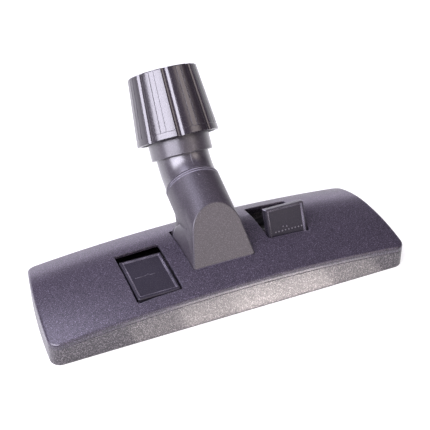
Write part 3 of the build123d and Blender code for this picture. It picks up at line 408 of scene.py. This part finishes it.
NODE_LOOKS = {
    "top_cover": SHELL, "base_body": BODY, "sole_plate": STEEL,
    "lint_strip_front": LINT, "lint_strip_rear": LINT,
    "bearing_cap_left": INNER, "bearing_cap_right": INNER,
    "bearing_screws": ZINC, "cover_screws": ZINC,
    "neck_elbow": NECK, "swivel_tube": TUBE, "swivel_clip": ZINC,
    "wand_seal": RUBBER, "collet_sleeve": INNER, "clamp_collar": COLLAR,
    "pedal_left": PEDAL, "pedal_right": PEDAL, "pedal_pin_left": PIN, "pedal_pin_right": PIN,
    "brush_carrier": INNER, "bristle_strip_front": HAIR, "bristle_strip_rear": HAIR,
}


def dress_nodes():
    """Gives each CAD node its material."""
    for name, material in NODE_LOOKS.items():
        mesh = nodes[name].data
        mesh.materials.clear()
        mesh.materials.append(material)


def piece(name, mesh_data, body, material, smooth=True):
    """Object from a bmesh that rides on a CAD body."""
    mesh = bpy.data.meshes.new(name)
    mesh_data.to_mesh(mesh)
    mesh_data.free()
    for polygon in mesh.polygons:
        polygon.use_smooth = smooth
    obj = bpy.data.objects.new(name, mesh)
    scene.collection.objects.link(obj)
    mesh.materials.append(material)
    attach(obj, body)
    return obj


def bristle_row(node, body):
    """Backing strip, close core and tufts of splayed bristles in place of the plain solid."""
    low, high = (Vector(c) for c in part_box(node))
    rng = random.Random(ROW_SEED)
    bm = bmesh.new()
    middle = (low + high) / 2
    length, width = high.x - low.x, high.y - low.y
    top = high.z - BACKING
    backing = Matrix.Translation((middle.x, middle.y, high.z - BACKING / 2))
    backing_size = (length, width, BACKING, 1)
    bmesh.ops.create_cube(bm, size=1.0, matrix=backing @ Matrix.Diagonal(backing_size))
    core = Matrix.Translation((middle.x, middle.y, (top + low.z + CORE_SHORT) / 2))
    core_size = (length, CORE, top - low.z - CORE_SHORT, 1)
    bmesh.ops.create_cube(bm, size=1.0, matrix=core @ Matrix.Diagonal(core_size))
    count = int(length / TUFT_PITCH)
    for k in range(count):
        x = middle.x + (k - (count - 1) / 2) * TUFT_PITCH
        for _ in range(TUFT_BRISTLES):
            angle = rng.uniform(0, 2 * math.pi)
            out = TUFT_RADIUS * math.sqrt(rng.random())
            way = Vector((math.cos(angle), math.sin(angle), 0))
            root = Vector((x, middle.y, top + ROOT_SINK)) + way * out
            tip = Vector((x, middle.y, low.z + TIP_UNEVEN * rng.random()))
            tip += way * out * rng.uniform(*TUFT_SPLAY)
            lean = Vector((0, 0, -1)).rotation_difference(tip - root).to_matrix().to_4x4()
            bmesh.ops.create_cone(bm, cap_ends=True, segments=3, radius1=ROOT_RADIUS,
                                  radius2=TIP_RADIUS, depth=(tip - root).length,
                                  matrix=Matrix.Translation((root + tip) / 2) @ lean)
    obj = piece(node + "_hair", bm, body, HAIR, smooth=False)
    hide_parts(node)


def on_panel(pin, tilt, x, s):
    """Place on a pedal's panel: x across, s along the tread from above the pin."""
    turn = Matrix.Rotation(math.radians(tilt), 4, "X")
    return Matrix.Translation(pin) @ turn @ Matrix.Translation((x, s, PANEL))


def pictogram(name, body, pin, tilt, material, dots=(), line=()):
    """Raised moulded sign on a tread: domed dots, and a thin round line through its points."""
    dome = Matrix.Diagonal((1, 1, SIGN_DOME, 1))
    bm = bmesh.new()
    for x, s in dots:
        bmesh.ops.create_uvsphere(bm, u_segments=14, v_segments=8, radius=DOT_RADIUS,
                                  matrix=on_panel(pin, tilt, x, s) @ dome)
    for (x0, s0), (x1, s1) in zip(line, line[1:]):
        along = Vector((x1 - x0, s1 - s0, 0))
        turn = Vector((0, 0, 1)).rotation_difference(along).to_matrix().to_4x4()
        place = on_panel(pin, tilt, (x0 + x1) / 2, (s0 + s1) / 2) @ dome @ turn
        bmesh.ops.create_cone(bm, cap_ends=True, segments=12, radius1=SIGN_LINE_RADIUS,
                              radius2=SIGN_LINE_RADIUS, depth=along.length, matrix=place)
        for x, s in ((x0, s0), (x1, s1)):
            bmesh.ops.create_uvsphere(bm, u_segments=12, v_segments=8, radius=SIGN_LINE_RADIUS,
                                      matrix=on_panel(pin, tilt, x, s) @ dome)
    piece(name, bm, body, material)


def cheek_points(side):
    """Points that a cheek of the neck's foot is stretched over; side is -1 or 1."""
    points = [Vector((side * DRUM_END, y, z)) for y, z in CHEEK_FOOT]
    for angle in DRUM_ARC:
        turn = math.radians(angle)
        way = Vector((0, math.cos(turn), math.sin(turn)))
        points.append(PIVOT + way * DRUM_RADIUS + Vector((side * DRUM_SHOULDER, 0, 0)))
        points.append(PIVOT + way * DRUM_END_RADIUS + Vector((side * DRUM_END, 0, 0)))
    for along, lift in CHEEK_TUBE:
        turn = math.radians(lift)
        out = Vector((side, 0, 0)) * math.cos(turn) + NECK_ABOVE * math.sin(turn)
        points.append(NECK_START + NECK_ALONG * along + out * NECK_RADIUS)
    points += [Vector((side * x, y, z)) for x, y, z in CHEEK_FRONT]
    return points


def neck_flare():
    """Cheeks of the neck's foot, from the drum's ends up to the widest line of the tube."""
    bm = bmesh.new()
    for side in (-1, 1):
        verts = [bm.verts.new(point) for point in cheek_points(side)]
        hull = bmesh.ops.convex_hull(bm, input=verts)
        inside = set(hull["geom_interior"] + hull["geom_unused"])
        spare = [item for item in inside if isinstance(item, bmesh.types.BMVert)]
        bmesh.ops.delete(bm, geom=spare, context="VERTS")
    bmesh.ops.recalc_face_normals(bm, faces=bm.faces)
    bmesh.ops.bevel(bm, geom=bm.edges[:], offset=CHEEK_ROUND, affect="EDGES", segments=2,
                    profile=0.5, material=-1, clamp_overlap=True)
    piece("neck_flare", bm, "neck", NECK)


def mould_line():
    """Fine parting line along the front of the bent tube."""
    centre = SWIVEL + NECK_ALONG * TUBE_LEAD + NECK_ABOVE * BEND_RADIUS
    start = centre - NECK_ABOVE * (BEND_RADIUS - TUBE_RADIUS)
    thin = Matrix.Translation(start) @ Matrix.Diagonal((*MOULD_LINE_HALF, 1))
    bm = bmesh.new()
    ring = bmesh.ops.create_circle(bm, cap_ends=False, segments=MOULD_LINE_SIDES, radius=1.0,
                                   matrix=thin @ Matrix.Rotation(NECK_LEAN, 4, "X"))
    bmesh.ops.spin(bm, geom=ring["verts"] + bm.edges[:], cent=centre, axis=(1, 0, 0),
                   dvec=(0, 0, 0), angle=BEND_TURN, steps=24, use_merge=False)
    bmesh.ops.holes_fill(bm, edges=bm.edges[:], sides=MOULD_LINE_SIDES)
    bmesh.ops.recalc_face_normals(bm, faces=bm.faces)
    piece("mould_line", bm, "swivel", TUBE)


def gate_mark():
    """Low round mark where the plastic ran into the neck's mould."""
    place = SWIVEL - NECK_ALONG * GATE_BACK + NECK_ABOVE * NECK_RADIUS
    flat = Matrix.Rotation(math.pi / 2 - NECK_LEAN, 4, "X") @ Matrix.Diagonal((1, 1, GATE_DOME, 1))
    bm = bmesh.new()
    bmesh.ops.create_uvsphere(bm, u_segments=16, v_segments=10, radius=GATE_RADIUS,
                              matrix=Matrix.Translation(place) @ flat)
    piece("gate_mark", bm, "neck", NECK)


def emission_for_camera(tree, strength):
    """White emission that only camera, glossy and transmission rays see."""
    path = tree.nodes.new("ShaderNodeLightPath").outputs
    mirrored = math_node(tree, "MAXIMUM", path["Is Glossy Ray"], path["Is Transmission Ray"])
    seen = math_node(tree, "MAXIMUM", path["Is Camera Ray"], mirrored)
    emission = tree.nodes.new("ShaderNodeEmission")
    emission.inputs["Color"].default_value = grey(1)
    tree.links.new(math_node(tree, "MULTIPLY", seen, strength), emission.inputs["Strength"])
    return emission.outputs["Emission"]


def studio_floor():
    """Pale floor that renders white and keeps the soft shadow."""
    bm = bmesh.new()
    bmesh.ops.create_grid(bm, x_segments=1, y_segments=1, size=FLOOR_HALF)
    mesh = bpy.data.meshes.new("floor")
    bm.to_mesh(mesh)
    bm.free()
    floor = bpy.data.objects.new("floor", mesh)
    scene.collection.objects.link(floor)
    material, tree, shader = new_material("floor_white")
    shader.inputs["Base Color"].default_value = grey(FLOOR_GREY)
    shader.inputs["Roughness"].default_value = 1.0
    shader.inputs["Specular IOR Level"].default_value = 0.0
    add = tree.nodes.new("ShaderNodeAddShader")
    tree.links.new(shader.outputs["BSDF"], add.inputs[0])
    tree.links.new(emission_for_camera(tree, FLOOR_GLOW), add.inputs[1])
    tree.links.new(add.outputs[0], tree.nodes["Material Output"].inputs["Surface"])
    mesh.materials.append(material)


def studio_sky():
    """Dim sky, graded by height: paler low down and overhead, dark between."""
    world = bpy.data.worlds.new("studio")
    scene.world = world
    world.use_nodes = True
    tree = world.node_tree
    height = tree.nodes.new("ShaderNodeSeparateXYZ")
    coords = tree.nodes.new("ShaderNodeTexCoord").outputs["Generated"]
    tree.links.new(coords, height.inputs[0])
    sky = tree.nodes.new("ShaderNodeValToRGB")
    stops = sky.color_ramp.elements
    stops[0].position, stops[0].color = SKY_LOW
    stops[1].position, stops[1].color = SKY_HIGH
    for place, tone in SKY_BETWEEN:
        stops.new(place).color = (*(tone * part for part in SKY_TINT), 1)
    tree.links.new(height.outputs["Z"], sky.inputs["Fac"])
    tree.links.new(sky.outputs["Color"], tree.nodes["Background"].inputs["Color"])


def lamp(name, place, target, width, height, power, colour, roll=0.0):
    """Soft area lamp aimed at a point and rolled about its own beam by degrees."""
    data = bpy.data.lights.new(name, "AREA")
    data.shape = "RECTANGLE"
    data.size = width
    data.size_y = height
    data.energy = power
    data.color = colour
    obj = bpy.data.objects.new(name, data)
    scene.collection.objects.link(obj)
    obj.location = place
    aim = (Vector(target) - Vector(place)).to_track_quat("-Z", "Y").to_matrix()
    obj.rotation_euler = (aim @ Matrix.Rotation(math.radians(roll), 3, "Z")).to_euler()
    obj.visible_camera = False


def studio_lamps():
    """Cool light from the left and behind, weaker warm light from the right and the front."""
    lamp("cool_left", place=(-0.672, -0.262, 0.684), target=NECK_MIDDLE, width=0.93, height=0.48,
         power=15.5, colour=(0.89, 0.86, 1.0), roll=34.0)
    lamp("sky_left", place=(-0.45, 0.45, 1.25), target=(-0.05, 0, 0.03), width=0.8, height=0.6,
         power=6.0, colour=(0.8, 0.76, 1.0))
    lamp("warm_right", place=(0.6, -0.365, 0.79), target=NECK_MIDDLE, width=0.5, height=0.35,
         power=1.4, colour=(1.0, 0.88, 0.84))
    lamp("warm_front", place=(0.3, -0.9, 0.43), target=HEAD_FRONT, width=0.7, height=0.4,
         power=3.2, colour=(1.0, 0.9, 0.88))
    # Low cards in front of the head throw the photo's bright patch on its front face.
    for x, power in CARD_POWERS:
        lamp("bounce_card", place=(x, -0.061, 0.001), target=(x, -0.059, 0.03), width=0.04,
             height=0.024, power=power, colour=(1.0, 0.92, 0.86))
    lamp("back_strip", place=(0.05, 1.0, 0.22), target=(0, 0.05, 0.03), width=2.1, height=0.28,
         power=3.4, colour=(0.88, 0.8, 1.0))


def photo_camera():
    """Camera that sees the head as the photo does."""
    data = bpy.data.cameras.new("photo_camera")
    data.sensor_width = CAMERA_SENSOR
    data.lens = CAMERA_LENS
    camera = bpy.data.objects.new("photo_camera", data)
    scene.collection.objects.link(camera)
    rows = list(zip(CAMERA_RIGHT, CAMERA_UP, CAMERA_BACK, CAMERA_PLACE))
    camera.matrix_world = Matrix((*rows, (0, 0, 0, 1)))
    scene.camera = camera


dress_nodes()
bristle_row("bristle_strip_front", "carrier")
bristle_row("bristle_strip_rear", "carrier")
dot_row = [(DOT_PITCH * (k - DOT_COUNT // 2) + DOT_SHIFT, DOT_ROW) for k in range(DOT_COUNT)]
pictogram("pictogram_brush", "pedal_right", RIGHT_PIN, RIGHT_TILT, DOTS_PAINTED_HIGHLIGHT, dots=dot_row + UPPER_DOTS)
pictogram("pictogram_carpet", "pedal_left", LEFT_PIN, LEFT_TILT, SIGN_PAINTED_HIGHLIGHT, line=CARPET_LINE)
neck_flare()
mould_line()
gate_mark()
studio_floor()
studio_sky()
studio_lamps()
photo_camera()
